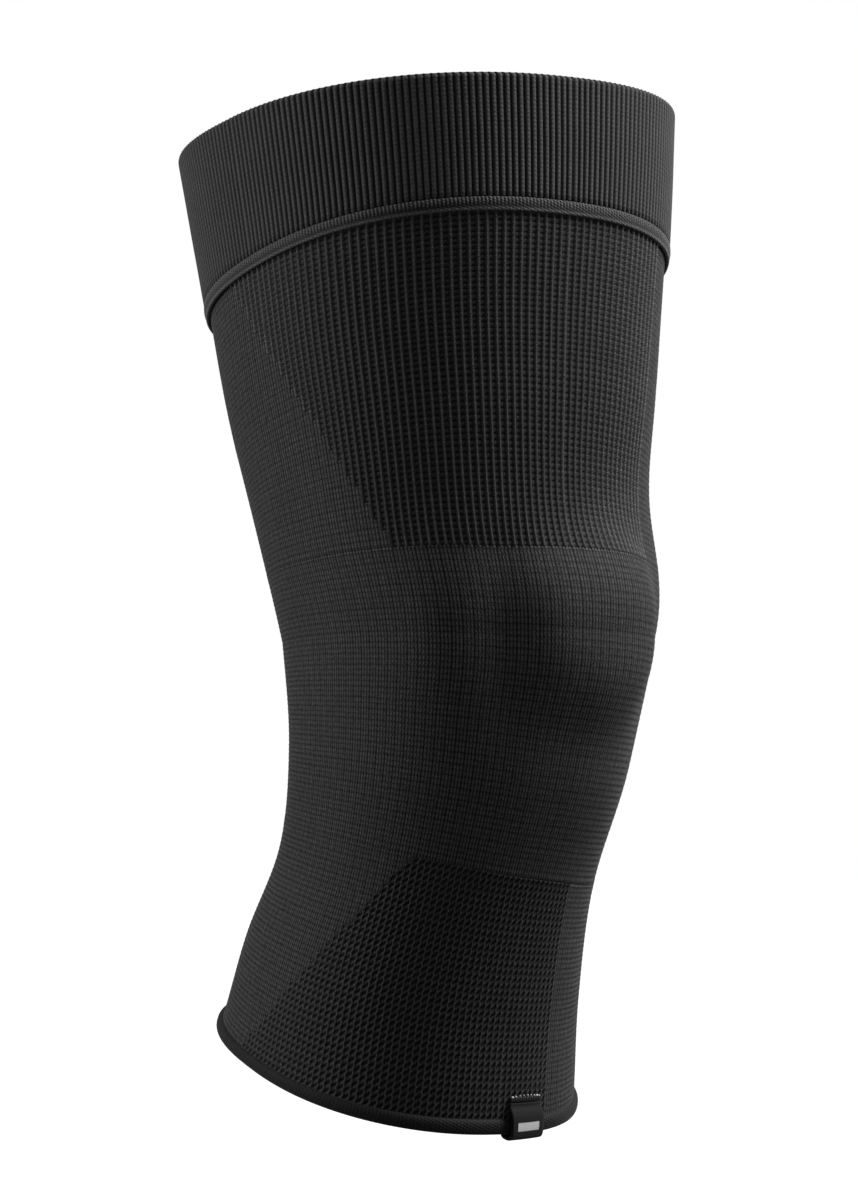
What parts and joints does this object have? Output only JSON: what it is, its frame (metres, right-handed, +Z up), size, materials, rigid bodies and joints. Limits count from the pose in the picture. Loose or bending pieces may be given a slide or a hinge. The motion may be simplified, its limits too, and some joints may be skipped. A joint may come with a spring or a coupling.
{
  "type": "knee sleeve",
  "caption": "Open knit tube in its worn shape over a slightly bent knee, with a ribbed thigh cuff, a rolled calf hem and a small loop label.",
  "frame": {"origin": "on the leg's axis at the height of the kneecap's middle, where the knee sits inside the sleeve", "axes": "+Z up towards the thigh, -Y out through the kneecap, +X to the side on which the small label lies"},
  "size_m": [0.1464, 0.1599, 0.3178],
  "materials": {
    "knit": "fine compression knit, matt with a soft sheen at grazing angles",
    "open_knit": "open knit of raised wales with small holes between them",
    "ribbing": "ribbed knit with narrow upright ribs",
    "seam_band": "flat knitted seam edge",
    "hem": "rolled knit edge",
    "label_tape": "woven satin tape with a plain pale stripe",
    "stitching": "dense thread"
  },
  "bodies": {
    "root": {"knee_knit": "knit", "thigh_plain_knit": "knit", "thigh_open_knit": "open_knit", "calf_plain_knit": "knit", "calf_open_knit": "open_knit", "thigh_cuff": "ribbing", "cuff_seam_band": "seam_band", "calf_hem": "hem", "hem_label": "label_tape", "label_bar_tack": "stitching"}
  },
  "joints": []
}
